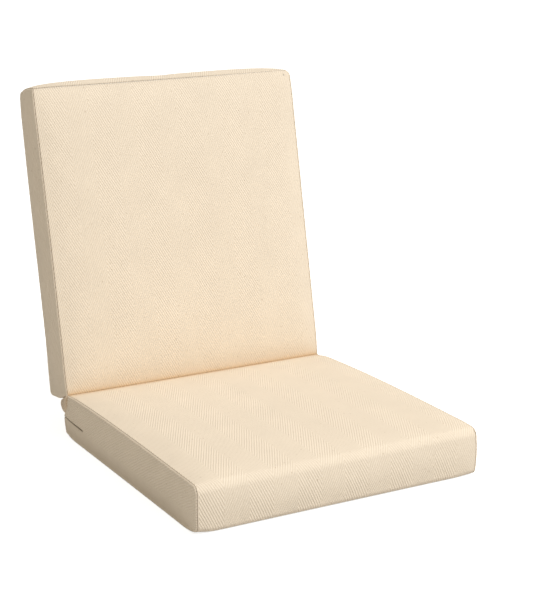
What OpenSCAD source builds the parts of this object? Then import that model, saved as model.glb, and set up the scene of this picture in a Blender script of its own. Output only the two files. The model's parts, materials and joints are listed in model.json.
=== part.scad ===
// Two-part chair pad: a boxed seat cushion and a boxed back cushion, sewn together along
// the seat's rear top edge by a folded strip of the cover fabric, which works as the hinge.
// Each cushion is a foam slab in polyester wadding inside a zipped cover cut in panels.
// Origin: middle of the seat's underside. +X to the right as seen from the front, +Y to
// the rear, +Z up.

/* [Seat cushion] */
// Width of both cushions, side to side
pad_w = 500; // [380:1:620]
// Depth of the seat cushion, front to rear
seat_d = 490; // [380:1:600]
// Thickness of the seat cushion
seat_t = 72; // [60:1:110]
// Radius of the seamless front top edge
front_top_r = 15; // [12:1:22]
// Radius of the seamless front bottom edge
front_bottom_r = 12; // [12:1:20]
// Height of the zip slit above the underside
slit_z = 32.4; // [28:0.1:40]
// How far the zip runs round each rear corner on to the side
zip_return = 80; // [40:1:120]

/* [Back cushion] */
// Height of the back cushion along its own slope
back_h = 520; // [380:1:620]
// Thickness of the back cushion
back_t = 62; // [55:1:90]
// Lean of the back cushion from the vertical, in degrees
recline = 11.8; // [0:0.1:25]
// Radius of the seamless rear top edge
rear_top_r = 18; // [12:1:22]

/* [Cover and filling] */
// Thickness of the cover fabric with its seam turnings
cloth = 1.2; // [0.8:0.1:1.6]
// Thickness of the wadding on each face of the foam
wadding = 9.8; // [6:0.1:12]
// Radius of the sewn edges
seam_r = 4; // [3:0.5:6]
// Distance from the front edge to the seam under the seat
under_seam = 15; // [14:1:40]

/* [Hinge strip] */
// How far the folded strip reaches from the hinge line, down and to the rear
fold_r = 29; // [18:1:32]
// Gap between the strip and each cushion
fold_clear = 0.3; // [0.2:0.1:0.8]

/* [Zips] */
// Distance from one tooth to the next on the same tape
tooth_pitch = 5; // [4:0.5:8]
// Width of one tape
tape_w = 13; // [10:0.5:15]

/* [Hidden] */
$fn = 64;
over = 1;                              // overshoot of cutting shapes

// Cover
half_w = pad_w / 2;
inner_half_w = half_w - cloth;
seat_front = -seat_d / 2;
seat_rear = seat_d / 2;

// Filling, clear of the zips
foam_side_gap = 5.6;
foam_end_gap = 7;
foam_half_w = half_w - foam_side_gap;
filling_in = cloth + wadding;
foam_r = 4;

// Zip section: v runs from the slit towards the flap's root, w out of the cover
slit_v = -5.6;                         // free edge of the flap
slit_gap = 0.6;
chain_half = 3;                        // half the height of the closed teeth
chain_split = 0.5;                     // half the gap between the two rows of teeth
tape_out = -3.6;
tape_t = 0.8;
teeth_out = -3.2;
teeth_deep = 1.6;
turning_v = 6;                         // the turned-in edge that the upper tape is sewn to
seat_zip_z = slit_z - slit_v;
back_zip_y = 38;                       // measured from the back cushion's front face
zip_end = 12;                          // plain fabric left at each end of a straight zip
teeth_half = half_w - zip_end - 2;
stop_l = 2;
tooth_w = 2;
cord_w = 0.8;                          // corded edge of the tape
slider_l = 11;
slider_half_h = 4;
slider_park = half_w - 24;             // the closed end of the slider's travel

// ---------- shared shapes ----------

// Rectangle from (0, 0) to (w, h) with a radius for each corner, as true arcs
module round_rect(w, h, low_left, low_right, top_right, top_left) {
    difference() {
        square([w, h]);
        corner_cut(0, 0, low_left, 1, 1);
        corner_cut(w, 0, low_right, -1, 1);
        corner_cut(w, h, top_right, -1, -1);
        corner_cut(0, h, top_left, 1, -1);
    }
}

// What a rounded corner takes off a square one
module corner_cut(x, y, r, to_x, to_y) {
    translate([x, y])
        scale([to_x, to_y])
            difference() {
                translate([-over, -over]) square(r + over);
                translate([r, r]) circle(r);
            }
}

// A section drawn in (y, z), drawn out along x from -half to +half
module across(half) {
    translate([-half, 0, 0])
        rotate([90, 0, 90])
            linear_extrude(2 * half)
                children();
}

// The seat's section, shrunk by inset all round
module seat_section(inset) {
    translate([seat_front + inset, inset])
        round_rect(seat_d - 2 * inset, seat_t - 2 * inset,
                   front_bottom_r - inset, max(seam_r - inset, 1),
                   max(seam_r - inset, 1), front_top_r - inset);
}

// The back cushion's section in its own frame: front face on y = 0, bottom on z = 0
module back_section(inset) {
    translate([inset, inset])
        round_rect(back_t - 2 * inset, back_h - 2 * inset,
                   max(seam_r - inset, 1), max(seam_r - inset, 1),
                   rear_top_r - inset, max(seam_r - inset, 1));
}

module seat_cloth_section() {
    difference() {
        seat_section(0);
        seat_section(cloth);
    }
}

module back_cloth_section() {
    difference() {
        back_section(0);
        back_section(cloth);
    }
}

// Leans the back cushion's own frame back from the hinge line
module on_back() {
    translate([0, seat_rear, seat_t])
        rotate([-recline, 0, 0])
            children();
}

// Stands a zip section on the seat's rear face: v up, w to the rear
module on_seat_rear() {
    translate([0, seat_rear, seat_zip_z])
        children();
}

// Stands a zip section on the back cushion's bottom face: v towards the hinge, w down,
// and x turned round
module on_back_bottom() {
    on_back()
        translate([0, back_zip_y, 0])
            rotate([-90, 0, 180])
                children();
}

// A bar in the zip frame, where x is along the zip, y is w (outwards) and z is v
module zip_bar(x0, x1, w0, w1, v0, v1) {
    translate([x0, w0, v0])
        cube([x1 - x0, w1 - w0, v1 - v0]);
}

// One row of teeth on the corded edge of its tape; side is +1 above the split, -1 below
module tooth_row(half, side) {
    count = floor(2 * half / tooth_pitch);
    shift = side > 0 ? 0 : tooth_pitch / 2;
    mirror([0, 0, side > 0 ? 0 : 1]) {
        zip_bar(-half, half, teeth_out - teeth_deep, teeth_out, chain_half - cord_w, chain_half);
        for (i = [0 : count - 1])
            translate([-half + i * tooth_pitch + shift, 0, 0])
                zip_bar(0, tooth_w, teeth_out - teeth_deep, teeth_out, chain_split, chain_half);
    }
}

// A tabless furniture slider: a plate on each side of the chain and the post between
module slider_body() {
    plate_t = 0.9;
    front_out = -2.0;
    back_out = -5.1;
    lug_t = 0.5;
    zip_bar(-slider_l / 2, slider_l / 2, front_out - plate_t, front_out,
            -slider_half_h, slider_half_h);
    zip_bar(-slider_l / 2, slider_l / 2, back_out - plate_t, back_out,
            -slider_half_h, slider_half_h);
    zip_bar(-2, 2, back_out, front_out - plate_t, -0.3, 0.3);
    zip_bar(-3, 3, front_out, front_out + lug_t, -1, 1);
}

// ---------- seat cushion ----------

module seat_foam_section() {
    foam_d = seat_d - filling_in - foam_end_gap;
    translate([seat_front + filling_in, filling_in])
        round_rect(foam_d, seat_t - 2 * filling_in, foam_r, 0.5, 0.5, foam_r);
}

module seat_foam() {
    color("khaki")
        across(foam_half_w)
            seat_foam_section();
}

// Wadding over the foam's top, front and underside, open towards the rear zip
module seat_wadding() {
    color("white")
        across(foam_half_w)
            difference() {
                intersection() {
                    seat_section(cloth);
                    translate([seat_front, 0]) square([seat_d - foam_end_gap, seat_t]);
                }
                seat_foam_section();
            }
}

// One piece over the top, down the front and a little way under
module seat_top_panel() {
    color("antiquewhite")
        across(inner_half_w)
            intersection() {
                seat_cloth_section();
                union() {
                    translate([seat_front, seat_t / 2]) square([seat_d - seam_r, seat_t]);
                    translate([seat_front, -over]) square([under_seam, seat_t]);
                }
            }
}

module seat_bottom_panel() {
    color("antiquewhite")
        across(inner_half_w)
            intersection() {
                seat_cloth_section();
                translate([seat_front + under_seam, 0])
                    square([seat_d - under_seam - seam_r, seat_t / 2]);
            }
}

// Side panel of the boxing, slit at its rear end where the zip comes round the corner
module seat_side_panel(x0) {
    difference() {
        translate([x0 + cloth / 2, 0, 0])
            across(cloth / 2)
                seat_section(0);
        translate([x0 - over, seat_rear - zip_return, slit_z - slit_gap])
            cube([cloth + 2 * over, zip_return + over, slit_gap]);
    }
}

module seat_side_panel_left() {
    color("tan") seat_side_panel(-half_w);
}

module seat_side_panel_right() {
    color("tan") seat_side_panel(half_w - cloth);
}

// Rear boxing above the slit; its lower edge is the flap over the zip
module seat_rear_panel_upper() {
    color("tan") {
        across(inner_half_w)
            intersection() {
                seat_cloth_section();
                translate([seat_rear - seam_r, slit_z]) square([seam_r, seat_t]);
            }
        on_seat_rear()
            zip_bar(-teeth_half, teeth_half, tape_out, -cloth, turning_v, turning_v + cloth);
    }
}

// Rear boxing below the slit, its top edge turned in behind the flap
module seat_rear_panel_lower() {
    top_v = slit_v - slit_gap;
    color("tan") {
        across(inner_half_w)
            intersection() {
                seat_cloth_section();
                translate([seat_rear - seam_r, 0]) square([seam_r, seat_zip_z + top_v]);
            }
        on_seat_rear()
            zip_bar(-teeth_half, teeth_half, tape_out, -cloth, top_v - cloth, top_v);
    }
}

// Plan of a zip tape: across the rear and round both corners on to the sides
module seat_tape_plan() {
    outer_half = half_w + tape_out;
    outer_rear = seat_rear + tape_out;
    depth = zip_return + tape_out;
    difference() {
        translate([-outer_half, outer_rear - depth])
            round_rect(2 * outer_half, depth, 0.1, 0.1, 6, 6);
        translate([-outer_half + tape_t, outer_rear - depth - over])
            round_rect(2 * (outer_half - tape_t), depth + over - tape_t, 0.1, 0.1, 5.2, 5.2);
    }
}

module seat_zip_tape_upper() {
    color("ivory")
        translate([0, 0, seat_zip_z + chain_half])
            linear_extrude(tape_w)
                seat_tape_plan();
}

module seat_zip_tape_lower() {
    color("ivory")
        translate([0, 0, seat_zip_z - chain_half - tape_w])
            linear_extrude(tape_w)
                seat_tape_plan();
}

// Teeth across the rear and along both side returns
module seat_teeth(side) {
    return_half = (zip_return - 24) / 2;
    return_mid = seat_rear - 12 - return_half;
    on_seat_rear() tooth_row(teeth_half - 2, side);
    for (to_x = [-1, 1])
        translate([to_x * half_w, return_mid, seat_zip_z])
            rotate([0, 0, -90 * to_x])
                tooth_row(return_half, side);
}

module seat_zip_teeth_upper() {
    color("gainsboro") seat_teeth(1);
}

module seat_zip_teeth_lower() {
    color("gainsboro") seat_teeth(-1);
}

// A stop at each end of the zip, clamped across both tapes' edges
module seat_zip_stops() {
    color("silver")
        for (to_x = [-1, 1])
            translate([to_x * half_w, seat_rear - zip_return + 4, seat_zip_z])
                rotate([0, 0, -90 * to_x])
                    zip_bar(-stop_l / 2, stop_l / 2, teeth_out - teeth_deep, teeth_out,
                            -chain_half, chain_half);
}

module seat_zip_slider() {
    color("silver")
        on_seat_rear()
            translate([slider_park, 0, 0])
                slider_body();
}

// ---------- back cushion ----------

module back_foam_section() {
    foam_h = back_h - filling_in - foam_end_gap;
    translate([filling_in, foam_end_gap])
        round_rect(back_t - 2 * filling_in, foam_h, 0.5, 0.5, foam_r, foam_r);
}

module back_foam() {
    color("khaki")
        on_back()
            across(foam_half_w)
                back_foam_section();
}

// Wadding over the foam's front, top and rear, open towards the bottom zip
module back_wadding() {
    color("white")
        on_back()
            across(foam_half_w)
                difference() {
                    intersection() {
                        back_section(cloth);
                        translate([0, foam_end_gap]) square([back_t, back_h]);
                    }
                    back_foam_section();
                }
}

module back_front_panel() {
    color("antiquewhite")
        on_back()
            across(inner_half_w)
                intersection() {
                    back_cloth_section();
                    square([seam_r, back_h]);
                }
}

// One piece up the rear face and over the top edge to the front seam
module back_rear_panel() {
    color("antiquewhite")
        on_back()
            across(inner_half_w)
                intersection() {
                    back_cloth_section();
                    union() {
                        translate([seam_r, back_h / 2]) square([back_t, back_h]);
                        translate([back_t / 2, seam_r]) square([back_t, back_h]);
                    }
                }
}

module back_side_panel(x0) {
    on_back()
        translate([x0 + cloth / 2, 0, 0])
            across(cloth / 2)
                back_section(0);
}

module back_side_panel_left() {
    color("tan") back_side_panel(-half_w);
}

module back_side_panel_right() {
    color("tan") back_side_panel(half_w - cloth);
}

// Bottom boxing on the hinge side of the slit; its rear edge is the flap over the zip
module back_bottom_panel_front() {
    flap_y = back_zip_y - slit_v;
    color("tan") {
        on_back()
            across(inner_half_w)
                intersection() {
                    back_cloth_section();
                    translate([seam_r, 0]) square([flap_y - seam_r, seam_r]);
                }
        on_back_bottom()
            zip_bar(-teeth_half, teeth_half, tape_out, -cloth, turning_v, turning_v + cloth);
    }
}

// Bottom boxing behind the slit, its front edge turned in behind the flap
module back_bottom_panel_rear() {
    edge_v = slit_v - slit_gap;
    edge_y = back_zip_y - edge_v;
    color("tan") {
        on_back()
            across(inner_half_w)
                intersection() {
                    back_cloth_section();
                    translate([edge_y, 0]) square([back_t - edge_y, seam_r]);
                }
        on_back_bottom()
            zip_bar(-teeth_half, teeth_half, tape_out, -cloth, edge_v - cloth, edge_v);
    }
}

module back_zip_tape(v0) {
    color("ivory")
        on_back_bottom()
            zip_bar(-half_w + zip_end, half_w - zip_end, tape_out - tape_t, tape_out,
                    v0, v0 + tape_w);
}

module back_zip_tape_front() {
    back_zip_tape(chain_half);
}

module back_zip_tape_rear() {
    back_zip_tape(-chain_half - tape_w);
}

module back_zip_teeth_front() {
    color("gainsboro") on_back_bottom() tooth_row(teeth_half - 2, 1);
}

module back_zip_teeth_rear() {
    color("gainsboro") on_back_bottom() tooth_row(teeth_half - 2, -1);
}

module back_zip_stops() {
    color("silver")
        on_back_bottom()
            for (x0 = [-teeth_half - stop_l, teeth_half])
                zip_bar(x0, x0 + stop_l, teeth_out - teeth_deep, teeth_out,
                        -chain_half, chain_half);
}

module back_zip_slider() {
    color("silver")
        on_back_bottom()
            translate([-slider_park, 0, 0])
                slider_body();
}

// ---------- hinge ----------

// The folded strip fills the wedge between the seat's rear face and the back's bottom
// face, as a round fold about the hinge line
module hinge_strip() {
    color("tan")
        translate([0, seat_rear, seat_t])
            across(inner_half_w)
                intersection() {
                    circle(fold_r);
                    translate([fold_clear, -2 * fold_r]) square(3 * fold_r);
                    rotate(-recline)
                        translate([-fold_r, -3 * fold_r - fold_clear]) square(3 * fold_r);
                }
}

seat_foam();
seat_wadding();
seat_top_panel();
seat_bottom_panel();
seat_side_panel_left();
seat_side_panel_right();
seat_rear_panel_upper();
seat_rear_panel_lower();
seat_zip_tape_upper();
seat_zip_tape_lower();
seat_zip_teeth_upper();
seat_zip_teeth_lower();
seat_zip_stops();
seat_zip_slider();
back_foam();
back_wadding();
back_front_panel();
back_rear_panel();
back_side_panel_left();
back_side_panel_right();
back_bottom_panel_front();
back_bottom_panel_rear();
back_zip_tape_front();
back_zip_tape_rear();
back_zip_teeth_front();
back_zip_teeth_rear();
back_zip_stops();
back_zip_slider();
hinge_strip();
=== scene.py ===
"""Looks of the two-part chair pad: crowned seat and back cushions in a zipped herringbone cover.

Lengths are in millimetres until a mesh is made. Each cushion has its own frame: x across, and
its section in (p, q). The seat's p runs to the rear and q up; the back's p runs through its
thickness from the front face and q up its slope.
"""

import json
import math
import bmesh
import bpy
import numpy as np
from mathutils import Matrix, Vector
from mathutils.bvhtree import BVHTree
from mathutils.interpolate import poly_3d_calc


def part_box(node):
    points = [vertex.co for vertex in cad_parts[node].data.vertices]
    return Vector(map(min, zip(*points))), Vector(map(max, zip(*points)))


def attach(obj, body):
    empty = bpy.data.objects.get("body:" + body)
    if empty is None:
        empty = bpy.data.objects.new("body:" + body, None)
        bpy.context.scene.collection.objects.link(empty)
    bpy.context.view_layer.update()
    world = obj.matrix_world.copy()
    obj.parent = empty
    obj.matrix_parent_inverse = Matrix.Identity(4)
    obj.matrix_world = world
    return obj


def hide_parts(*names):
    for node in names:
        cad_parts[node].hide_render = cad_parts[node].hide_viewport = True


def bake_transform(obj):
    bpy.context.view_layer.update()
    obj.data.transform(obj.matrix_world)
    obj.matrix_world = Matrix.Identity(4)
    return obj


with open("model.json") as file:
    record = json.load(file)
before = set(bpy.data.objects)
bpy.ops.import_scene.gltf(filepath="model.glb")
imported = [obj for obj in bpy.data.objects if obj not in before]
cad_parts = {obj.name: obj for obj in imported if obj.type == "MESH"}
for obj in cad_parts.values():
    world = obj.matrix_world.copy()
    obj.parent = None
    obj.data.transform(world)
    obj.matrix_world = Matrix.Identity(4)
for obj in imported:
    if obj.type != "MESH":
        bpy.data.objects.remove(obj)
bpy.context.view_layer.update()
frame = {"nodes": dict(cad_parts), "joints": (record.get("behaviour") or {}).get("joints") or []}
MM = 0.001

# ---------- sizes, from the frame where it has them ----------

pad_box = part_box("seat_side_panel_left")
HALF_W = -pad_box[0].x / MM
SEAT_D = (pad_box[1].y - pad_box[0].y) / MM
SEAT_T = (pad_box[1].z - pad_box[0].z) / MM
fold_joint = next(j for j in frame["joints"] if j["name"] == "backrest_fold")
HINGE = Vector(fold_joint["pos_m"]) / MM
BACK_H, BACK_T = 520, 62
RECLINE = math.radians(11.8)

FRONT_TOP_R, FRONT_BOTTOM_R = 12, 9     # the seat's front edges, which have no seam
REAR_TOP_R = 13            # the back's rear top edge, which has none either
HEEL_R = 9                 # the back's rear bottom edge, which is sewn but round
TOP_LEFT_R, TOP_RIGHT_R = 5, 12         # the back's top corners, seen from the front
SHARP = 0.2                # a corner with a smaller radius stays square
UNDER_SEAM = 15            # front edge to the seam under the seat
UNDERSIDE = 0.05           # nothing of the seat's cover hangs lower than this
SLIT_LOW, SLIT_HIGH = 31.8, 32.4        # the seat's zip slit, above its underside
SLIT_MID = (SLIT_LOW + SLIT_HIGH) / 2
ZIP_RETURN = 80            # the zip's run round each rear corner
BACK_SLIT_FRONT, BACK_SLIT_REAR = 43.6, 44.2   # the back's slit, behind its front face

CLOTH = 0.9                # thickness of the cover cloth
ROLL_R = 1.5               # a panel's edge rolls over the corner at this radius
LIP_R = 0.6                # and turns in at the seam at this one
SEAM_GAP = 0.15            # between two panels at their seam
TURNING = 4.0              # seam allowance inside
EDGE_INSET = ROLL_R + LIP_R + SEAM_GAP  # from a corner to the flat panel that meets a rolled one
GRID = 3.6                 # spacing of the panels' grid lines
CROWDED = (0.35, 0.7, 1.1, 1.7, 2.5, 3.6, 5, 7)   # and their distances from a seam or slit
STRIPE = 0.0412            # width of one herringbone stripe, in metres like the UVs
RIB_PITCH = 0.0038         # from one rib to the next
RIB_ANGLE = math.radians(28)
THREAD_V, THREAD_U = 0.00135, 0.00105   # pitch of the threads along and across the cloth


# ---------- cushions ----------

def rounded_corners(low, high, radii):
    """Each rounded corner of a rectangle: its ends, its radius and the middle of its arc."""
    for (end_p, end_q), radius in radii.items():
        if radius > SHARP:
            cp = low[0] + radius if end_p < 0 else high[0] - radius
            cq = low[1] + radius if end_q < 0 else high[1] - radius
            yield end_p, end_q, radius, cp, cq


def round_corners(p, q, low, high, radii):
    """Moves a rectangle's points so that its corners follow their radii."""
    p, q = p.copy(), q.copy()
    for end_p, end_q, radius, cp, cq in rounded_corners(low, high, radii):
        u, v = (p - cp) * end_p / radius, (q - cq) * end_q / radius
        zone = (u > 0) & (v > 0)
        u, v = np.clip(u, 0, 1), np.clip(v, 0, 1)
        p = np.where(zone, cp + end_p * radius * u * np.sqrt(1 - v * v / 2), p)
        q = np.where(zone, cq + end_q * radius * v * np.sqrt(1 - u * u / 2), q)
    return p, q


class Cushion:
    """A boxed cushion: its section's corners in order, each (p, q, radius).

    hinge is the corner that the other cushion is sewn to. gain scales the stuffing in x, p and q, on
    the low side of each and on the high side. top_round has the radii of the two top corners."""

    def __init__(self, name, corners, place, hinge, gain, top_round=()):
        self.name, self.place, self.hinge = name, place, hinge
        self.gain, self.top_round = np.array(gain), top_round
        self.corners = np.array(corners, float)
        nxt = np.roll(self.corners, -1, axis=0)
        self.length = np.linalg.norm(nxt[:, :2] - self.corners[:, :2], axis=1)
        self.along = (nxt[:, :2] - self.corners[:, :2]) / self.length[:, None]
        self.start = np.concatenate([[0], np.cumsum(self.length)])
        self.low, self.high = self.corners[:, :2].min(0), self.corners[:, :2].max(0)

    def section(self, run):
        """Points and outward normals of the section, where run follows its square-cornered outline."""
        points, normals = [], []
        count = len(self.length)
        for r in np.mod(run, self.start[-1]):
            i = min(int(np.searchsorted(self.start, r, "right")) - 1, count - 1)
            s, length = r - self.start[i], self.length[i]
            here, after = self.corners[i], self.corners[(i + 1) % count]
            d = self.along[i]
            n = np.array([d[1], -d[0]])
            point, normal = here[:2] + d * s, n
            for corner, far, before in ((here, s, True), (after, length - s, False)):
                radius = corner[2]
                if far < radius:
                    turn = math.radians(45) * (1 - far / radius)
                    side = -1 if before else 1
                    normal = n * math.cos(turn) + side * d * math.sin(turn)
                    centre = corner[:2] - n * radius - side * d * radius
                    point = centre + normal * radius
            points.append(point)
            normals.append(normal)
        return np.array(points), np.array(normals)

    def swell(self, points):
        """How far the stuffed cover has moved at each point (x, p, q) of the flat-sided cushion."""
        moved = np.zeros_like(points)
        if self.top_round:
            radii = {(-1, 1): self.top_round[0], (1, 1): self.top_round[1]}
            x, q = round_corners(points[:, 0], points[:, 2], (-HALF_W, self.low[1]),
                                 (HALF_W, self.high[1]), radii)
            moved[:, 0], moved[:, 2] = x - points[:, 0], q - points[:, 2]
        for i, p in enumerate(points):
            place, _, face, _ = self.tree.find_nearest(Vector(p))
            corners = self.faces[face]
            share = poly_3d_calc([Vector(self.smooth[c]) for c in corners], place)
            moved[i] += sum(w * self.shift[c] for w, c in zip(share, corners))
        return moved


def place_seat(v):
    """Points of the seat cushion in the shared frame, which is its own."""
    return v


def place_back(v):
    """Points of the back cushion in the shared frame: leant back about the hinge."""
    c, s = math.cos(RECLINE), math.sin(RECLINE)
    return np.column_stack([v[:, 0], HINGE.y + v[:, 1] * c + v[:, 2] * s,
                            HINGE.z - v[:, 1] * s + v[:, 2] * c])


half_d = SEAT_D / 2
seat = Cushion("seat", [(half_d, SEAT_T, 0), (-half_d, SEAT_T, FRONT_TOP_R),
                        (-half_d, 0, FRONT_BOTTOM_R), (half_d, 0, 0)],
               place_seat, (half_d, SEAT_T), [(2.2, 1.5, 0.1), (2.2, 1.2, 1.0)])
back = Cushion("back", [(0, BACK_H, 0), (0, 0, 0), (BACK_T, 0, HEEL_R), (BACK_T, BACK_H, REAR_TOP_R)],
               place_back, (0, 0), [(3.2, 0.95, 1.0), (3.2, 0.75, 4.2)],
               top_round=(TOP_LEFT_R, TOP_RIGHT_R))


# ---------- stuffing: a cloth simulation of each cover under pressure ----------

EDGE_HOLD, FACE_HOLD = 0.12, 0.1        # how firmly the foam holds the cover at its edges and faces
CROWN = 7.5                # the fullest place stands out this far
HINGE_HOLD = 26            # the stuffing fades out over this distance from the hinge seam
CORNER_PULL, CORNER_REACH = 1.5, 36     # the corners draw in
LOW_LIFT, LOW_REACH = 4.5, 22           # the seat's lower left corners turn up
SEAT_LIFT = 8.5            # the seat's top rises in its middle,
LIFT_FALL = (0.5, 0.2)     # less to the front and rear, by the square and the cube of the way,
LIFT_TILT = 0.2            # and more to the right
SEAT_TAPER = 2.0           # and it narrows to the rear
REAR_BELLY, REAR_REACH = 12.5, 60       # the seat's rear end bulges under the strip,
BELLY_FROM, BELLY_FULL = 20, 40         # between these distances below its top,
BELLY_PAST, BELLY_LOSS = 45, 0.3        # and loses this share from there to its underside
BACK_LIFT, BACK_TILT = 4.5, 1.2         # the back's top edge stands up, more on the right,
LIFT_FROM = 0.8            # from this share of its height
FRONT_BOW, REAR_BOW = 1.5, 7.5          # its front face is hollow and its rear face full
BOTTOM_BELLY, BELLY_AT, LOW_END = 7.0, 24, 70   # its lower end bulges behind the strip
BOTTOM_FLARE, FLARE_REACH = 9.0, 60     # and widens to the rear
HEEL_OUT, HEEL_DOWN, HEEL_FROM = 9.0, 1.5, 40   # its rear corner hangs full, from that depth on


def lattice(cushion, step):
    """Vertices and faces of the cushion's box as a closed quad mesh."""
    spans = [(-HALF_W, HALF_W)] + list(zip(cushion.low, cushion.high))
    lines = [np.linspace(a, b, int(round((b - a) / step)) + 1) for a, b in spans]
    n = [len(line) - 1 for line in lines]
    index, verts, faces = {}, [], []

    def corner(key):
        if key not in index:
            index[key] = len(verts)
            verts.append([lines[k][key[k]] for k in range(3)])
        return index[key]

    for axis in range(3):
        u, v = (axis + 1) % 3, (axis + 2) % 3
        for end in (0, n[axis]):
            for i in range(n[u]):
                for j in range(n[v]):
                    ring = []
                    for di, dj in ((0, 0), (1, 0), (1, 1), (0, 1)):
                        key = [0, 0, 0]
                        key[axis], key[u], key[v] = end, i + di, j + dj
                        ring.append(corner(tuple(key)))
                    faces.append(ring if end else ring[::-1])
    return np.array(verts), faces


def evaluated(obj):
    """Vertex places and faces of an object with its modifiers."""
    mesh = obj.evaluated_get(bpy.context.evaluated_depsgraph_get()).to_mesh()
    co = np.zeros(len(mesh.vertices) * 3)
    mesh.vertices.foreach_get("co", co)
    return co.reshape(-1, 3), [list(p.vertices) for p in mesh.polygons]


def smoothstep(a, b, x):
    t = np.clip((x - a) / (b - a), 0, 1)
    return t * t * (3 - 2 * t)


def settled(cushion, rest):
    """What filling and use do to the block's edges: drawn-in corners, bowed faces and full ends."""
    low, high = np.array([-HALF_W, *cushion.low]), np.array([HALF_W, *cushion.high])
    side = np.sign(rest - (low + high) / 2)
    near = np.clip(1 - np.minimum(rest - low, high - rest) / CORNER_REACH, 0, 1)
    move = -CORNER_PULL * near.prod(1)[:, None] * side
    x, p, q = rest.T
    if cushion is seat:
        top = q / SEAT_T
        back_way = p / half_d
        rise = 1 - LIFT_FALL[0] * back_way ** 2 - LIFT_FALL[1] * back_way ** 3
        move[:, 2] += SEAT_LIFT * top * rise * (1 + LIFT_TILT * x / HALF_W)
        wide = CORNER_REACH / LOW_REACH
        low_corner = np.clip(near * wide + 1 - wide, 0, 1).prod(1)
        move[:, 2] += LOW_LIFT * low_corner * (1 - top) * (side[:, 0] < 0)
        move[:, 0] -= SEAT_TAPER * top * side[:, 0] * smoothstep(-half_d, half_d, p)
        below = SEAT_T - q
        belly = smoothstep(BELLY_FROM, BELLY_FULL, below)
        belly *= 1 - BELLY_LOSS * smoothstep(BELLY_PAST, SEAT_T, below)
        move[:, 1] += REAR_BELLY * belly * smoothstep(half_d - REAR_REACH, half_d, p)
    else:
        top = smoothstep(LIFT_FROM, 1, q / BACK_H)
        move[:, 2] += top * (BACK_LIFT + BACK_TILT * x / HALF_W)
        bow = 1 - (2 * q / BACK_H - 1) ** 2
        move[:, 1] += bow * (REAR_BOW * p / BACK_T - FRONT_BOW * (1 - p / BACK_T))
        belly = p / BELLY_AT * np.exp(1 - p / BELLY_AT)
        move[:, 2] -= BOTTOM_BELLY * belly * (1 - smoothstep(0, LOW_END, q))
        flare = np.exp(-q / FLARE_REACH)
        heel = smoothstep(HEEL_FROM, BACK_T, p) * flare
        move[:, 1] += BOTTOM_FLARE * p / BACK_T * flare + HEEL_OUT * heel
        move[:, 2] -= HEEL_DOWN * heel
    return move


def stuff(cushion, crown, step=10, frames=20, pressure=0.8):
    """Inflates the cover as cloth held softly to its foam, and keeps how far each point went.

    The inflation is scaled so that its fullest place stands crown out, times the gain there."""
    rest, faces = lattice(cushion, step)
    mesh = bpy.data.meshes.new("cover_sim")
    mesh.from_pydata((rest * MM).tolist(), [], faces)
    obj = bpy.data.objects.new("cover_sim", mesh)
    bpy.context.scene.collection.objects.link(obj)
    low, high = np.array([-HALF_W, *cushion.low]), np.array([HALF_W, *cushion.high])
    sides = ((np.abs(rest - low) < 1e-6) | (np.abs(rest - high) < 1e-6)).sum(1)
    held = obj.vertex_groups.new(name="foam")
    for i, count in enumerate(sides):
        held.add([i], EDGE_HOLD if count > 1 else FACE_HOLD, "REPLACE")
    cloth = obj.modifiers.new("Cloth", "CLOTH")
    s = cloth.settings
    s.quality, s.mass, s.air_damping = 6, 0.3, 1.0
    s.tension_stiffness = s.compression_stiffness = 15
    s.shear_stiffness, s.bending_stiffness = 7.5, 0.5
    s.vertex_group_mass = "foam"
    s.use_pressure, s.uniform_pressure_force = True, pressure
    s.effector_weights.gravity = 0
    cloth.collision_settings.use_collision = False
    cloth.point_cache.frame_start, cloth.point_cache.frame_end = 1, frames
    for f in range(1, frames + 1):
        bpy.context.scene.frame_set(f)
    full, _ = evaluated(obj)
    bpy.context.scene.frame_set(1)
    obj.modifiers.remove(cloth)
    move = full / MM - rest
    share = (rest - low) / (high - low)
    gain = cushion.gain[0] * (1 - share) + cushion.gain[1] * share
    move *= crown / np.linalg.norm(move, axis=1).max() * gain
    move += settled(cushion, rest)
    away = np.hypot(rest[:, 1] - cushion.hinge[0], rest[:, 2] - cushion.hinge[1])
    move[:, 1:] *= smoothstep(0, HINGE_HOLD, away)[:, None]
    smooth = obj.modifiers.new("Smooth", "SUBSURF")
    smooth.levels = 2
    places = []
    for shape in (rest, rest + move):
        mesh.vertices.foreach_set("co", (shape * MM).ravel())
        mesh.update()
        points, cushion.faces = evaluated(obj)
        places.append(points / MM)
    cushion.smooth, cushion.shift = places[0], places[1] - places[0]
    cushion.tree = BVHTree.FromPolygons([Vector(p) for p in cushion.smooth], cushion.faces)
    cushion.rest, cushion.move, cushion.box_faces = rest, move, faces
    bpy.data.objects.remove(obj)


for cushion in (seat, back):
    stuff(cushion, CROWN)


# ---------- panel grids ----------

def edge_rows(style):
    """(distance in from the edge, depth) of a panel edge's rows, from inside the seam outwards."""
    if style == "roll":
        deep = ROLL_R + LIP_R
        rows = [(LIP_R + TURNING, deep), (LIP_R + TURNING / 2, deep)]
        rows += [(LIP_R * (1 - math.cos(a)), ROLL_R + LIP_R * math.sin(a))
                 for a in np.radians((90, 60, 30))]
        inner = len(rows)
        rows += [(ROLL_R * (1 - math.sin(a)), ROLL_R * (1 - math.cos(a)))
                 for a in np.radians((90, 75, 60, 45, 30, 15, 0))]
    else:
        rows = [(0, LIP_R + TURNING), (0, LIP_R + TURNING / 2)]
        inner = len(rows)
        rows += [(LIP_R * (1 - math.sin(a)), LIP_R * (1 - math.cos(a)))
                 for a in np.radians((90, 68, 45, 22, 0))]
    return rows, inner


ARC_LINES = 13             # grid lines round one unsewn corner
CLEAR = 0.45               # an even line keeps this share of the step from the crowded ones


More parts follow.
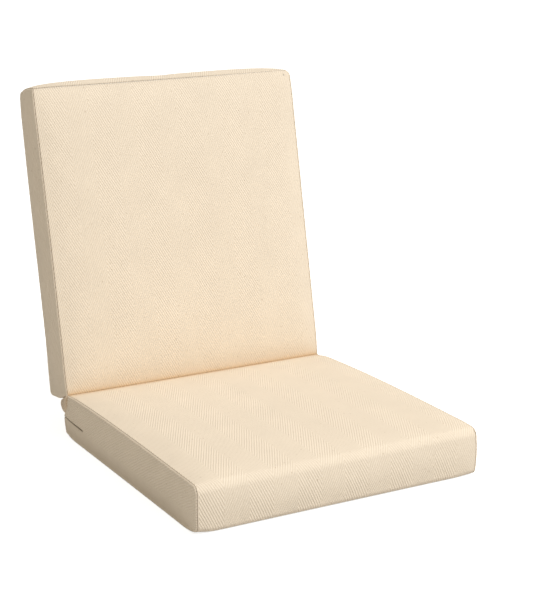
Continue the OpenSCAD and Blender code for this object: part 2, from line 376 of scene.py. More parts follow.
def rows_across(low, high, styles, step, fine=(), arcs=()):
    """Grid lines from low to high: their places, depths and whether they lie inside the seam.

    Lines crowd near the seams and near the places in fine, and follow each (middle, radius) arc."""
    head, head_in = edge_rows(styles[0])
    tail, tail_in = edge_rows(styles[1])
    first, last = low + head[-1][0], high - tail[-1][0]
    near = {round(f + side * d, 3) for f in (first, last, *fine) for side in (-1, 1) for d in CROWDED}
    for middle, radius in arcs:
        near = {x for x in near if abs(x - middle) > radius + 1}
        near |= set(np.round(np.linspace(middle - radius, middle + radius, ARC_LINES), 3))
    near = sorted(x for x in near if first < x < last)
    even = np.linspace(first, last, max(2, int((last - first) / step)))[1:-1]
    clear = [x for x in even if min(abs(x - y) for y in near) > step * CLEAR]
    middle = sorted(near + clear)
    place = [low + a for a, _ in head] + middle + [high - a for a, _ in reversed(tail)]
    depth = [d for _, d in head] + [0] * len(middle) + [d for _, d in reversed(tail)]
    inside = [True] * head_in + [False] * (len(place) - head_in - tail_in) + [True] * tail_in
    return np.array(place), np.array(depth), np.array(inside)


def ripple(t, seed, period):
    """A smooth irregular wave along a seam, from -1 to 1: three waves of unrelated lengths."""
    rng = np.random.default_rng(seed)
    total = np.zeros_like(t)
    for k in (0.62, 1.0, 1.57):
        total += np.sin(2 * math.pi * k * t / period + rng.uniform(0, 2 * math.pi))
    return total / 3


def grid_object(name, points, uvs, seam, crease_shade, skip, flip):
    """A mesh object from a grid of places (rows, columns, 3) in millimetres."""
    rows, cols = points.shape[:2]
    faces = []
    for i in range(rows - 1):
        for j in range(cols - 1):
            if skip[i, j]:
                continue
            a = i * cols + j
            ring = [a, a + 1, a + cols + 1, a + cols]
            faces.append(ring[::-1] if flip else ring)
    mesh = bpy.data.meshes.new(name)
    mesh.from_pydata((points.reshape(-1, 3) * MM).tolist(), [], faces)
    layer = mesh.uv_layers.new(name="cloth")
    flat = uvs.reshape(-1, 2)
    corner = np.zeros(len(mesh.loops), int)
    mesh.loops.foreach_get("vertex_index", corner)
    layer.data.foreach_set("uv", flat[corner].astype(np.float32).ravel())
    # painted seam shade and painted crease shade, kept on the points for the cloth material
    for label, shade in (("seam", seam), ("crease_shade", crease_shade)):
        layer = mesh.attributes.new(label, "FLOAT", "POINT")
        layer.data.foreach_set("value", shade.ravel().astype(np.float32))
    bm = bmesh.new()
    bm.from_mesh(mesh)
    bmesh.ops.remove_doubles(bm, verts=bm.verts, dist=1e-6)
    bmesh.ops.dissolve_degenerate(bm, edges=bm.edges, dist=1e-6)
    loose = [v for v in bm.verts if not v.link_faces]
    bmesh.ops.delete(bm, geom=loose, context="VERTS")
    bm.to_mesh(mesh)
    bm.free()
    mesh.polygons.foreach_set("use_smooth", [True] * len(mesh.polygons))
    obj = bpy.data.objects.new(name, mesh)
    bpy.context.scene.collection.objects.link(obj)
    return obj


def thicken(obj, thickness):
    """Gives a surface its thickness, inwards, as real geometry."""
    solid = obj.modifiers.new("Thickness", "SOLIDIFY")
    solid.thickness, solid.offset = thickness * MM, -1
    bpy.context.view_layer.objects.active = obj
    with bpy.context.temp_override(object=obj, active_object=obj, selected_objects=[obj]):
        bpy.ops.object.modifier_apply(modifier=solid.name)


SEAM_SHADE_FADE = 0.65           # the painted shade at a seam fades over this distance
LIT_SIDE_SHADE_LOSS = 0.75             # the painted seam shade is weaker on the right, where the key light falls, by this share
CREASE_SHADE = ((0.95, 5), (0.22, 40))          # strength and reach of the painted shade and warm bounce light in the crease
PUCKER, PUCKER_REACH, PUCKER_L = 0.22, 7, 11    # the wraps' cloth puckers along its seams


def paint_seam_shade(distance):
    """Painted shade: 1 at a seam, fading to 0 over a few millimetres."""
    return np.exp(-np.maximum(distance, 0) / SEAM_SHADE_FADE)


def paint_crease_shade(cushion, p, q):
    """Painted shade with warm bounce light: strong in the crease over the hinge, where cloth faces cloth,
    and fading away from it.
    """
    away = np.hypot(p - cushion.hinge[0], q - cushion.hinge[1])
    return sum(strength * np.exp(-away / reach) for strength, reach in CREASE_SHADE)


def flatten_underside(cushion, points):
    """The seat rests on its underside, so nothing reaches below it."""
    if cushion is seat:
        points[..., 2] = np.maximum(points[..., 2], UNDERSIDE)
    return points


def cut_size(grid):
    """Width and height of the flat cloth of a panel: the middle lengths of its grid's lines, which
    start and end inside the seams."""
    across = np.linalg.norm(np.diff(grid, axis=1), axis=2).sum(1)
    along = np.linalg.norm(np.diff(grid, axis=0), axis=2).sum(0)
    return round(float(np.median(across)), 1), round(float(np.median(along)), 1)


def wrap_panel(name, cushion, run, styles, first_stripe, thickness=CLOTH, half=HALF_W - EDGE_INSET,
               sink=0.0, step=GRID, seed=1):
    """A panel that goes round the section from run[0] to run[1], the cushion's full width."""
    turn = cushion.start[-1]
    corners = list(zip(cushion.start, cushion.corners[:, 2]))
    arcs = [(at + lap, radius) for lap in (0, turn) for at, radius in corners
            if radius and run[0] < at + lap < run[1]]
    r, r_depth, r_in = rows_across(run[0], run[1], styles, step, arcs=arcs)
    x, x_depth, x_in = rows_across(-half, half, ("flat", "flat"), step)
    points, normals = cushion.section(np.clip(r, run[0] + 1e-4, run[1] - 1e-4))
    base = np.zeros((len(r), len(x), 3))
    base[..., 0] = x[None, :]
    base[..., 1:] = points[:, None, :]
    shift = cushion.swell(base.reshape(-1, 3)).reshape(base.shape)
    depth = np.maximum(r_depth[:, None], x_depth[None, :]) + sink
    side = half - np.abs(x)
    pucker = PUCKER * np.exp(-side / PUCKER_REACH)[None, :] * ripple(r, seed, PUCKER_L)[:, None]
    place = base + shift
    place[..., 1:] -= normals[:, None, :] * (depth - pucker)[..., None]
    arc_length = np.concatenate([[0], np.cumsum(np.linalg.norm(np.diff(points, axis=0), axis=1))])
    uvs = np.zeros((len(r), len(x), 2))
    uvs[..., 0] = (x[None, :] + HALF_W - first_stripe) * MM
    uvs[..., 1] = -arc_length[:, None] * MM
    away = np.minimum(np.where(x_in, 0, side)[None, :],
                      np.where(r_in, 0, np.minimum(r - run[0], run[1] - r))[:, None])
    place = flatten_underside(cushion, place)
    rows = cushion.place(place.reshape(-1, 3)).reshape(place.shape)
    skip = (r_in[:-1] | r_in[1:])[:, None] & (x_in[:-1] | x_in[1:])[None, :]
    # painted shade with warm bounce light, strongest in the crease over the hinge
    crease_shade = paint_crease_shade(cushion, base[..., 1], base[..., 2])
    # painted seam shade, weaker towards the right where the key light falls
    painted_shade = paint_seam_shade(away) * (1 - LIT_SIDE_SHADE_LOSS * smoothstep(0, half, x))[None, :]
    obj = grid_object(name, rows, uvs, painted_shade, crease_shade, skip, flip=True)
    thicken(obj, thickness)
    return obj, cut_size(rows)


def border_distance(p, q, low, high, radii):
    """Distance in from a rounded rectangle's outline."""
    away = np.minimum(np.minimum(p - low[0], high[0] - p), np.minimum(q - low[1], high[1] - q))
    for end_p, end_q, radius, cp, cq in rounded_corners(low, high, radii):
        u, v = (p - cp) * end_p, (q - cq) * end_q
        zone = (u > 0) & (v > 0)
        away = np.where(zone, radius - np.hypot(u, v), away)
    return away


RIDGE_H = {"seat": 0.9, "back": 0.3}    # a side panel is thick with turnings along its seams,
RIDGE_AT, RIDGE_W = 2.2, 1.6            # this far in from the edge and this wide
RIDGE_WAVE, SIDE_WAVE = 0.3, 0.2        # unevenness of the ridge and of the cloth by it
WAVE_L, WAVE_REACH = 10, 8
SLIT_SHADE, SLIT_SHADE_W = 3.0, 1.4       # painted shade in the slit, stronger than at a seam; the painted shade's half width
SLIT_END = 4               # it opens over this length
SLIT_DEPTH, SLIT_WALL = 4.5, (0.3, 1.0) # its depth, and where its walls begin and end
SLIT_DIP, DIP_FADE = 0.5, (0.8, 2.4)    # the cloth dips towards it
FLAP_OUT, FLAP_FADE = 1.4, 5            # and the flap above it stands out to the rear


def side_panel(name, cushion, end, slit, seed):
    """A side of the boxing, which rolls over all four edges and may hold the end of the zip's slit."""
    low, high = cushion.low, cushion.high
    radii = {}
    middle = (low + high) / 2
    for p, q, radius in cushion.corners:
        radii[(1 if p > middle[0] else -1, 1 if q > middle[1] else -1)] = radius
    p, p_depth, p_in = rows_across(low[0], high[0], ("roll", "roll"), GRID)
    q, q_depth, q_in = rows_across(low[1], high[1], ("roll", "roll"), GRID, [SLIT_MID] if slit else [])
    pp, qq = np.meshgrid(p, q, indexing="ij")
    pp, qq = round_corners(pp, qq, low, high, radii)
    base = np.stack([np.full(pp.shape, end * HALF_W), pp, qq], axis=-1)
    shift = cushion.swell(base.reshape(-1, 3)).reshape(base.shape)
    depth = np.maximum(p_depth[:, None], q_depth[None, :])
    away = border_distance(pp, qq, low, high, radii)
    run = np.where(np.minimum(pp - low[0], high[0] - pp) < np.minimum(qq - low[1], high[1] - qq), qq, pp)
    wave = ripple(run, seed, WAVE_L)
    ridge = RIDGE_H[cushion.name] * (1 + RIDGE_WAVE * wave)
    out = ridge * np.exp(-((away - RIDGE_AT) / RIDGE_W) ** 2) - depth
    out += SIDE_WAVE * wave * np.exp(-np.maximum(away, 0) / WAVE_REACH)
    inner = p_in[:, None] | q_in[None, :]
    # painted seam shade, weaker on the right-hand side where the key light falls
    painted_shade = paint_seam_shade(np.where(inner, 0, away + ROLL_R - depth)) * (1 - LIT_SIDE_SHADE_LOSS * (end > 0))
    if slit:
        start = high[0] - ZIP_RETURN
        open_here = smoothstep(start, start + SLIT_END, pp)
        off = qq - SLIT_MID
        cut = SLIT_DEPTH * (1 - smoothstep(*SLIT_WALL, np.abs(off)))
        dip = SLIT_DIP * (1 - smoothstep(*DIP_FADE, np.abs(off)))
        flap = np.where(off > 0, np.exp(-off / FLAP_FADE), 0) * smoothstep(start, high[0], pp)
        out += open_here * (-cut - dip) + FLAP_OUT * flap * (1 - np.exp(-np.abs(off) / SLIT_WALL[0]))
        # painted shade along the open slit
        painted_shade = np.maximum(painted_shade, open_here * np.exp(-(off / SLIT_SHADE_W) ** 2) * SLIT_SHADE)
    place = base + shift
    place[..., 0] += end * out
    place = flatten_underside(cushion, place)
    rows = cushion.place(place.reshape(-1, 3)).reshape(place.shape)
    uvs = np.zeros(pp.shape + (2,))
    if cushion is seat:
        uvs[..., 0] = (qq - (SEAT_T - STRIPE / MM)) * MM
        uvs[..., 1] = pp * MM
    else:
        uvs[..., 0] = pp * MM
        uvs[..., 1] = qq * MM
    skip = (p_in[:-1] | p_in[1:])[:, None] & (q_in[:-1] | q_in[1:])[None, :]
    obj = grid_object(name, rows, uvs, painted_shade, 0 * painted_shade, skip, flip=end > 0)
    thicken(obj, CLOTH)
    return obj, cut_size(rows)


# ---------- materials ----------

class Shader:
    """A node material built by short calls; a value is a number or another node's socket."""

    def __init__(self, name):
        self.material = bpy.data.materials.new(name)
        self.material.use_nodes = True
        self.tree = self.material.node_tree
        self.tree.nodes.clear()
        self.bsdf = self.tree.nodes.new("ShaderNodeBsdfPrincipled")
        out = self.tree.nodes.new("ShaderNodeOutputMaterial")
        self.tree.links.new(self.bsdf.outputs[0], out.inputs["Surface"])

    def feed(self, socket, value):
        if isinstance(value, bpy.types.NodeSocket):
            self.tree.links.new(value, socket)
        elif value is not None:
            socket.default_value = value

    def math(self, op, a, b=None, c=None):
        node = self.tree.nodes.new("ShaderNodeMath")
        node.operation = op
        for socket, value in zip(node.inputs, (a, b, c)):
            self.feed(socket, value)
        return node.outputs[0]

    def mix(self, share, a, b, blend="MIX"):
        node = self.tree.nodes.new("ShaderNodeMix")
        node.data_type, node.blend_type = "RGBA", blend
        self.feed(node.inputs["Factor"], share)
        self.feed(node.inputs[6], a)
        self.feed(node.inputs[7], b)
        return node.outputs[2]

    def noise(self, vector, scale, detail=2.0, rough=0.5):
        node = self.tree.nodes.new("ShaderNodeTexNoise")
        self.feed(node.inputs["Vector"], vector)
        node.inputs["Scale"].default_value = scale
        node.inputs["Detail"].default_value = detail
        node.inputs["Roughness"].default_value = rough
        return node.outputs["Fac"]

    def voronoi(self, vector, scale):
        node = self.tree.nodes.new("ShaderNodeTexVoronoi")
        self.feed(node.inputs["Vector"], vector)
        node.inputs["Scale"].default_value = scale
        return node.outputs["Distance"]

    def stretch(self, vector, scale):
        node = self.tree.nodes.new("ShaderNodeMapping")
        self.feed(node.inputs["Vector"], vector)
        node.inputs["Scale"].default_value = scale
        return node.outputs[0]

    def span(self, value, a, b, c=0.0, d=1.0):
        node = self.tree.nodes.new("ShaderNodeMapRange")
        for socket, v in zip(node.inputs, (value, a, b, c, d)):
            self.feed(socket, v)
        return node.outputs[0]

    def uv(self, layer):
        node = self.tree.nodes.new("ShaderNodeUVMap")
        node.uv_map = layer
        return node.outputs[0]

    def place(self):
        return self.tree.nodes.new("ShaderNodeTexCoord").outputs["Object"]

    def parts(self, vector):
        node = self.tree.nodes.new("ShaderNodeSeparateXYZ")
        self.feed(node.inputs[0], vector)
        return node.outputs

    def attribute(self, name):
        node = self.tree.nodes.new("ShaderNodeAttribute")
        node.attribute_name = name
        return node.outputs["Fac"]

    def bump(self, height, strength, distance):
        node = self.tree.nodes.new("ShaderNodeBump")
        self.feed(node.inputs["Height"], height)
        node.inputs["Strength"].default_value = strength
        node.inputs["Distance"].default_value = distance
        return node.outputs[0]

    def finish(self, color, normal, rough, **numbers):
        self.feed(self.bsdf.inputs["Base Color"], color)
        self.feed(self.bsdf.inputs["Roughness"], rough)
        self.feed(self.bsdf.inputs["Normal"], normal)
        for key, value in numbers.items():
            self.bsdf.inputs[key.replace("_", " ")].default_value = value
        return self.material


RIB_LIGHT = (0.89, 0.788, 0.655, 1)
RIB_DARK = (0.846, 0.736, 0.592, 1)
NEP = (0.42, 0.31, 0.20, 1)             # specks of seed husk
# colour and strongest share of the painted shade at the seams and the slit
SEAM_SHADE_COLOR, SEAM_SHADE_SHARE = (0.13, 0.07, 0.025, 1), 0.32
# painted shade with warm bounce light in the crease over the hinge
CREASE_SHADE_TINT = (0.80, 0.65, 0.47, 1)


def herringbone(name, light=RIB_LIGHT, dark=RIB_DARK):
    """Undyed cotton herringbone: slanting ribs that turn at each stripe, with slubs and neps, and painted
    shade at the seams, the slit and the crease.
    """
    s = Shader(name)
    uv = s.uv("cloth")
    u, v, _ = s.parts(uv)
    drift = s.noise(uv, 55, 2)
    u = s.math("ADD", u, s.math("MULTIPLY", s.math("SUBTRACT", drift, 0.5), 0.0016))
    wave = s.math("PINGPONG", u, STRIPE)
    across = s.math("MULTIPLY", wave, math.cos(RIB_ANGLE))
    slant = s.math("ADD", across, s.math("MULTIPLY", v, math.sin(RIB_ANGLE)))
    phase = s.math("MULTIPLY", slant, 2 * math.pi / RIB_PITCH)
    rib = s.math("MULTIPLY_ADD", s.math("SINE", phase), 0.5, 0.5)
    thread_v = s.math("SINE", s.math("MULTIPLY", v, 2 * math.pi / THREAD_V))
    thread_u = s.math("SINE", s.math("MULTIPLY", u, 2 * math.pi / THREAD_U))
    threads = s.math("MULTIPLY_ADD", s.math("MULTIPLY", thread_v, thread_u), 0.5, 0.5)
    slub = s.noise(s.stretch(uv, (420, 60, 1)), 1, 2)
    fuzz = s.noise(uv, 900, 3, 0.7)
    mottle = s.noise(uv, 16, 3, 0.55)
    nep = s.span(s.noise(s.stretch(uv, (260, 170, 1)), 1, 0), 0.77, 0.84)
    share = s.math("ADD", rib, s.math("MULTIPLY", s.math("SUBTRACT", slub, 0.5), 0.5))
    share = s.math("ADD", share, s.math("MULTIPLY", s.math("SUBTRACT", fuzz, 0.5), 0.7))
    color = s.mix(s.span(share, 0.0, 0.9), dark, light)
    tone = s.span(mottle, 0.3, 0.7, 0.975, 1.015)
    color = s.mix(1.0, color, tone, "MULTIPLY")
    color = s.mix(s.math("MULTIPLY", nep, 0.3), color, NEP)
    # painted seam and slit shade, then painted crease shade with warm bounce light
    color = s.mix(s.math("MULTIPLY", s.attribute("seam"), SEAM_SHADE_SHARE), color, SEAM_SHADE_COLOR)
    color = s.mix(s.attribute("crease_shade"), color, s.mix(1.0, color, CREASE_SHADE_TINT, "MULTIPLY"))
    height = s.math("ADD", rib, s.math("MULTIPLY", threads, 0.18))
    height = s.math("ADD", height, s.math("MULTIPLY", fuzz, 0.25))
    normal = s.bump(height, 0.7, 0.0006)
    return s.finish(color, normal, 0.92, Specular_IOR_Level=0.15, Sheen_Weight=0.12,
                    Sheen_Roughness=0.55)


def foam_material():
    s = Shader("foam")
    at = s.place()
    cells = s.voronoi(at, 900)
    color = s.mix(s.span(s.noise(at, 30, 3), 0.3, 0.7), (0.86, 0.76, 0.46, 1), (0.93, 0.86, 0.60, 1))
    color = s.mix(s.span(cells, 0.0, 0.5, 0.25, 0.0), color, (0.55, 0.46, 0.25, 1))
    return s.finish(color, s.bump(cells, 0.6, 0.0008), 0.95, Specular_IOR_Level=0.1)


def wadding_material():
    s = Shader("wadding")
    at = s.place()
    fibres = s.noise(s.stretch(at, (900, 240, 900)), 1, 4, 0.7)
    color = s.mix(fibres, (0.80, 0.80, 0.78, 1), (0.96, 0.96, 0.94, 1))
    return s.finish(color, s.bump(fibres, 0.7, 0.002), 0.95, Sheen_Weight=0.3)


def tape_material():
    s = Shader("zip_tape")
    x, y, z = s.parts(s.place())
    weave = s.math("MULTIPLY", s.math("SINE", s.math("MULTIPLY", x, 7000)),
                   s.math("SINE", s.math("MULTIPLY", s.math("ADD", y, z), 5200)))
    share = s.math("MULTIPLY_ADD", weave, 0.4, 0.5)
    color = s.mix(share, (0.76, 0.68, 0.54, 1), (0.90, 0.84, 0.71, 1))
    return s.finish(color, s.bump(weave, 0.5, 0.0002), 0.85)


def teeth_material():
    s = Shader("zip_teeth")
    grain = s.noise(s.place(), 1500, 2)
    color = s.mix(grain, (0.80, 0.76, 0.66, 1), (0.90, 0.87, 0.79, 1))
    return s.finish(color, s.bump(grain, 0.2, 0.0001), s.span(grain, 0.3, 0.7, 0.32, 0.45))


def metal_material():
    s = Shader("zip_metal")
    brushed = s.noise(s.stretch(s.place(), (200, 2600, 2600)), 1, 3)
    color = s.mix(brushed, (0.60, 0.59, 0.56, 1), (0.80, 0.79, 0.77, 1))
    return s.finish(color, s.bump(brushed, 0.15, 0.0001), s.span(brushed, 0.3, 0.7, 0.22, 0.4),
                    Metallic=1.0)


cover_cloth = herringbone("cover_cloth")
foam_look, wadding_look = foam_material(), wadding_material()


# ---------- the pieces ----------

def dress(obj, material):
    obj.data.materials.clear()
    obj.data.materials.append(material)


def place_panel(obj, node, body):
    dress(obj, cover_cloth)
    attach(obj, body)
    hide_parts(node)


SEAT_FIRST, BACK_FIRST = 4, 15         # width of the first, cut stripe at the left seam
seat_front_run = seat.start[2] + UNDER_SEAM
rear_run = seat.start[3]
bottom_run = back.start[1]

wraps = [
    ("seat_top", "seat_top_panel", seat, "seat", (0, seat_front_run - SEAM_GAP), ("roll", "flat"),
     SEAT_FIRST),
    ("seat_bottom", "seat_bottom_panel", seat, "seat", (seat_front_run + SEAM_GAP, rear_run),
     ("flat", "roll"), SEAT_FIRST),
    ("seat_rear_lower", "seat_rear_panel_lower", seat, "seat",
     (rear_run + EDGE_INSET, rear_run + SLIT_LOW), ("flat", "flat"), SEAT_FIRST),
    ("seat_rear_upper", "seat_rear_panel_upper", seat, "seat",
     (rear_run + SLIT_HIGH, seat.start[4] - EDGE_INSET), ("flat", "flat"), SEAT_FIRST),
    ("back_front", "back_front_panel", back, "backrest", (EDGE_INSET, bottom_run), ("flat", "roll"),
     BACK_FIRST),
    ("back_bottom_front", "back_bottom_panel_front", back, "backrest",
     (bottom_run + EDGE_INSET, bottom_run + BACK_SLIT_FRONT), ("flat", "flat"), BACK_FIRST),
    ("back_bottom_rear", "back_bottom_panel_rear", back, "backrest",
     (bottom_run + BACK_SLIT_REAR, back.start[2] - SEAM_GAP), ("flat", "flat"), BACK_FIRST),
    ("back_rear", "back_rear_panel", back, "backrest", (back.start[2] + SEAM_GAP, back.start[4]),
     ("flat", "roll"), BACK_FIRST),
]
for seed, (name, node, cushion, body, run, styles, first) in enumerate(wraps):
    panel, flat = wrap_panel(name + "_cloth", cushion, run, styles, first, seed=seed + 3)
    place_panel(panel, node, body)

for seed, (cushion, body) in enumerate(((seat, "seat"), (back, "backrest"))):
    for end, side in ((-1, "left"), (1, "right")):
        panel, flat = side_panel(f"{cushion.name}_side_{side}_cloth", cushion, end, cushion is seat,
                                 20 + seed)
        place_panel(panel, f"{cushion.name}_side_panel_{side}", body)


WADDING, WADDING_IN, WADDING_GRID = 8.4, 0.7, 12     # its thickness, its gap to the cover, its grid
FOAM_IN, FOAM_END = 11, 7               # from the cover to the back's foam, and at its lower end
ZIP_ROOM = 7                            # the wadding stops this far from the corner by a zip


def foam_block(cushion, node, body):
    """The foam slab, pressed to the cover's crowned shape."""
    low, high = (np.array(v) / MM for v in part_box(node))
    if cushion is back:
        low[1:], high[1:] = (FOAM_IN, FOAM_END), (BACK_T - FOAM_IN, BACK_H - FOAM_IN)
    box_low = np.array([-HALF_W, *cushion.low])
    share = (cushion.rest - box_low) / (np.array([HALF_W, *cushion.high]) - box_low)
    points = low + share * (high - low) + cushion.move
    mesh = bpy.data.meshes.new(node)
    mesh.from_pydata((cushion.place(points) * MM).tolist(), [], cushion.box_faces)
    mesh.polygons.foreach_set("use_smooth", [False] * len(mesh.polygons))
    obj = bpy.data.objects.new(f"{cushion.name}_foam_slab", mesh)
    bpy.context.scene.collection.objects.link(obj)
    dress(obj, foam_look)
    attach(obj, body)
    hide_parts(node)


def wadding_wrap(cushion, node, body, run):
    """Polyester wadding wrapped over the foam, open towards the zip."""
    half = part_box(node)[1].x / MM
    obj, _ = wrap_panel(f"{cushion.name}_wadding_wrap", cushion, run, ("flat", "flat"), 0,
                        thickness=WADDING, half=half, sink=CLOTH + WADDING_IN, step=WADDING_GRID)
    dress(obj, wadding_look)
    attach(obj, body)
    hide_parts(node)


foam_block(seat, "seat_foam", "seat")
foam_block(back, "back_foam", "backrest")
wadding_wrap(seat, "seat_wadding", "seat", (ZIP_ROOM, seat.start[3] - ZIP_ROOM))
wadding_wrap(back, "back_wadding", "backrest",
             (back.start[2] + ZIP_ROOM, back.start[4] + back.start[1] - ZIP_ROOM))


# ---------- hinge strip ----------

def rounded_outline(points, count):
    """A closed smooth curve that follows a few control points, as a uniform cubic B-spline."""
    pts = np.array(points, float)
    n = len(pts)
    curve = []
    for t in np.linspace(0, n, count, endpoint=False):
        i, f = int(t), t - int(t)
        w = ((1 - f) ** 3, 3 * f ** 3 - 6 * f ** 2 + 4, -3 * f ** 3 + 3 * f ** 2 + 3 * f + 1, f ** 3)
        curve.append(sum(a * pts[(i + k - 1) % n] for k, a in enumerate(w)) / 6)
    return np.array(curve)


# The folded strip's outline from the hinge line, as (rearwards, up)
FOLD = [(0.4, 0.2)] * 3 + [(0.7, -8), (0.9, -19), (1.2, -30), (8, -35), (21, -31), (28.5, -22),
                           (24, -12), (12.5, -6.5), (4.5, -1.5)]
FOLD_REACH = HALF_W + 1.0
FOLD_SOFT, FOLD_SHRINK = 4.0, 0.34      # its ends close over this length, by this share
FOLD_LINES, FOLD_ROUND = 120, 56        # grid lines along it and points round it
FOLD_TIP = 0.6                          # the middle of a closed end stands out by this much
FOLD_UNEVEN = 0.012                     # its girth varies by this share of the sum of these waves,
FOLD_WAVES = ((0.35, 23, 0), (0.25, 9, 1))      # given as (height, length, phase)


def hinge_fold():
    """The folded strip in the wedge behind the hinge line, with soft closed ends."""
    outline = rounded_outline(FOLD, FOLD_ROUND)
    middle = outline.mean(0)
    ends = [(FOLD_SOFT * (1 - math.cos(a)), 1 - FOLD_SHRINK * (1 - math.sin(a)))
            for a in np.radians((0, 22, 45, 67))]
    straight = FOLD_REACH - FOLD_SOFT
    xs = [(-FOLD_REACH + d, k) for d, k in ends]
    xs += [(x, 1.0) for x in np.linspace(-straight, straight, FOLD_LINES)]
    xs += [(FOLD_REACH - d, k) for d, k in reversed(ends)]
    verts, faces, uvs = [], [], []
    count = len(outline)
    girth = np.concatenate([[0], np.cumsum(np.linalg.norm(np.diff(outline, axis=0), axis=1))])
    for x, k in xs:
        wave = sum(h * math.sin(x / length + phase) for h, length, phase in FOLD_WAVES)
        for i, point in enumerate(outline):
            y, z = middle + (point - middle) * (k + FOLD_UNEVEN * wave * (k == 1.0))
            verts.append((x, HINGE.y + y, HINGE.z + z))
    for r in range(len(xs) - 1):
        for i in range(count):
            a, b = r * count + i, r * count + (i + 1) % count
            faces.append((a, a + count, b + count, b))
    for r, flip in ((0, False), (len(xs) - 1, True)):
        hub = len(verts)
        tip = xs[r][0] + (-FOLD_TIP if r == 0 else FOLD_TIP)
        verts.append((tip, HINGE.y + middle[0], HINGE.z + middle[1]))
        for i in range(count):
            a, b = r * count + i, r * count + (i + 1) % count
            faces.append((hub, b, a) if flip else (hub, a, b))
    mesh = bpy.data.meshes.new("hinge_fold")
    mesh.from_pydata((np.array(verts) * MM).tolist(), [], faces)
    layer = mesh.uv_layers.new(name="cloth")
    for loop in mesh.loops:
        i = loop.vertex_index
        ring = i % count if i < len(xs) * count else 0
        layer.data[loop.index].uv = (girth[ring] * MM, verts[i][0] * MM)
    mesh.polygons.foreach_set("use_smooth", [True] * len(mesh.polygons))
    bm = bmesh.new()
    bm.from_mesh(mesh)
    bmesh.ops.recalc_face_normals(bm, faces=bm.faces)
    bm.to_mesh(mesh)
    bm.free()
    obj = bpy.data.objects.new("hinge_fold", mesh)
    bpy.context.scene.collection.objects.link(obj)
    return obj


hinge = hinge_fold()
# a darker, warmer copy of the cover cloth: painted shade and bounce light for the fold in the crease
dress(hinge, herringbone("hinge_cloth_shaded", (0.90, 0.76, 0.60, 1), (0.76, 0.60, 0.44, 1)))
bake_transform(hinge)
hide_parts("hinge_strip")

# ---------- zips keep their CAD shapes ----------

zip_looks = {"tape": tape_material(), "teeth": teeth_material(), "stops": metal_material()}
zip_looks["slider"] = zip_looks["stops"]
for node, obj in frame["nodes"].items():
    for part, look in zip_looks.items():
        if "_zip_" in node and part in node:
            dress(obj, look)


# ---------- studio ----------

FLOOR_R, FLOOR_DROP = 12, 0.0004        # half the floor's side, and its gap under the pad, in metres
FLOOR_GLOW = 0.8           # the floor's and the sky's white, as the camera sees it,
SKY_LIGHT, SKY_TINT = 0.5, (1, 0.92, 0.79, 1)   # and the softer warm sky that lights the pad
WHITE = (1, 1, 1, 1)
PAD_MIDDLE = (0, 0, 0.25)


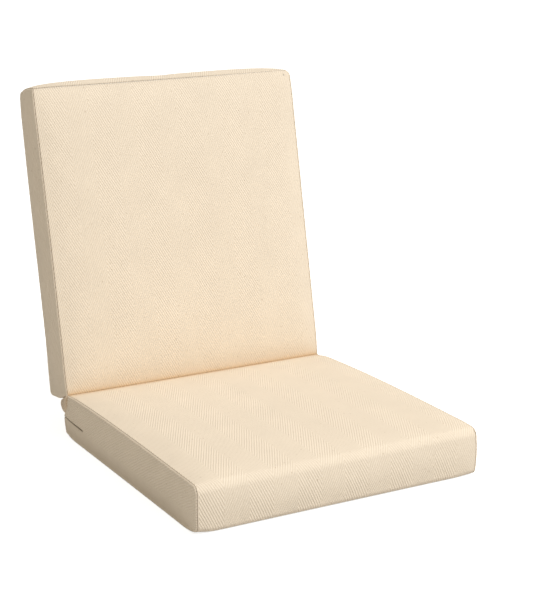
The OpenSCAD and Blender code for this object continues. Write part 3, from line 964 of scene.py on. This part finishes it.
def floor_and_sky():
    """A plain pale floor, and a sky that is plain white behind the pad."""
    mesh = bpy.data.meshes.new("floor")
    r = FLOOR_R
    mesh.from_pydata([(-r, -r, 0), (r, -r, 0), (r, r, 0), (-r, r, 0)], [], [(0, 1, 2, 3)])
    floor = bpy.data.objects.new("floor", mesh)
    floor.location.z = -FLOOR_DROP
    bpy.context.scene.collection.objects.link(floor)
    material = bpy.data.materials.new("floor")
    material.use_nodes = True
    nodes, links = material.node_tree.nodes, material.node_tree.links
    nodes.clear()
    diffuse = nodes.new("ShaderNodeBsdfDiffuse")
    diffuse.inputs[0].default_value = (0.62, 0.62, 0.62, 1)
    glow = nodes.new("ShaderNodeEmission")
    path = nodes.new("ShaderNodeLightPath")
    seen = nodes.new("ShaderNodeMath")
    seen.operation = "MULTIPLY"
    links.new(path.outputs["Is Camera Ray"], seen.inputs[0])
    seen.inputs[1].default_value = FLOOR_GLOW
    links.new(seen.outputs[0], glow.inputs[1])
    both = nodes.new("ShaderNodeAddShader")
    links.new(diffuse.outputs[0], both.inputs[0])
    links.new(glow.outputs[0], both.inputs[1])
    out = nodes.new("ShaderNodeOutputMaterial")
    links.new(both.outputs[0], out.inputs[0])
    floor.data.materials.append(material)
    world = bpy.data.worlds.new("studio")
    bpy.context.scene.world = world
    world.use_nodes = True
    nodes, links = world.node_tree.nodes, world.node_tree.links
    nodes.clear()
    path = nodes.new("ShaderNodeLightPath")
    sky = nodes.new("ShaderNodeBackground")
    level = nodes.new("ShaderNodeMapRange")
    links.new(path.outputs["Is Camera Ray"], level.inputs[0])
    level.inputs[3].default_value, level.inputs[4].default_value = SKY_LIGHT, 1.0
    links.new(level.outputs[0], sky.inputs[1])
    tint = nodes.new("ShaderNodeMix")
    tint.data_type = "RGBA"
    links.new(path.outputs["Is Camera Ray"], tint.inputs["Factor"])
    tint.inputs[6].default_value, tint.inputs[7].default_value = SKY_TINT, WHITE
    links.new(tint.outputs[2], sky.inputs[0])
    out = nodes.new("ShaderNodeOutputWorld")
    links.new(sky.outputs[0], out.inputs[0])


def softbox(name, place, size, power):
    """A round soft light that faces the pad."""
    data = bpy.data.lights.new(name, "AREA")
    data.shape, data.size, data.energy = "DISK", size, power
    light = bpy.data.objects.new(name, data)
    light.location = place
    light.rotation_euler = (Vector(PAD_MIDDLE) - Vector(place)).to_track_quat("-Z", "Y").to_euler()
    bpy.context.scene.collection.objects.link(light)


def camera(azimuth, elevation, distance, lens, side, lift):
    """Looks at a point that lies side and lift away from the seat's rear edge, in the picture's plane."""
    a, e = math.radians(azimuth), math.radians(elevation)
    back_way = Vector((math.sin(a) * math.cos(e), -math.cos(a) * math.cos(e), math.sin(e)))
    right = Vector((math.cos(a), math.sin(a), 0))
    up = back_way.cross(right)
    data = bpy.data.cameras.new("camera")
    data.lens, data.sensor_width = lens, 36
    cam = bpy.data.objects.new("camera", data)
    target = Vector((0, half_d * MM, 0)) + right * side + up * lift
    cam.location = target + back_way * distance
    cam.rotation_mode = "QUATERNION"
    cam.rotation_quaternion = (-back_way).to_track_quat("-Z", "Y")
    bpy.context.scene.collection.objects.link(cam)
    bpy.context.scene.camera = cam


floor_and_sky()
softbox("key", place=(5.8, -6.2, 10.6), size=4.8, power=1225)
softbox("fill", place=(1.9, -1.5, 0.75), size=1.0, power=5)
camera(azimuth=-29.46, elevation=14.98, distance=2.813, lens=94.68, side=0.1371, lift=0.2009)
bpy.context.scene.view_settings.view_transform = "Standard"
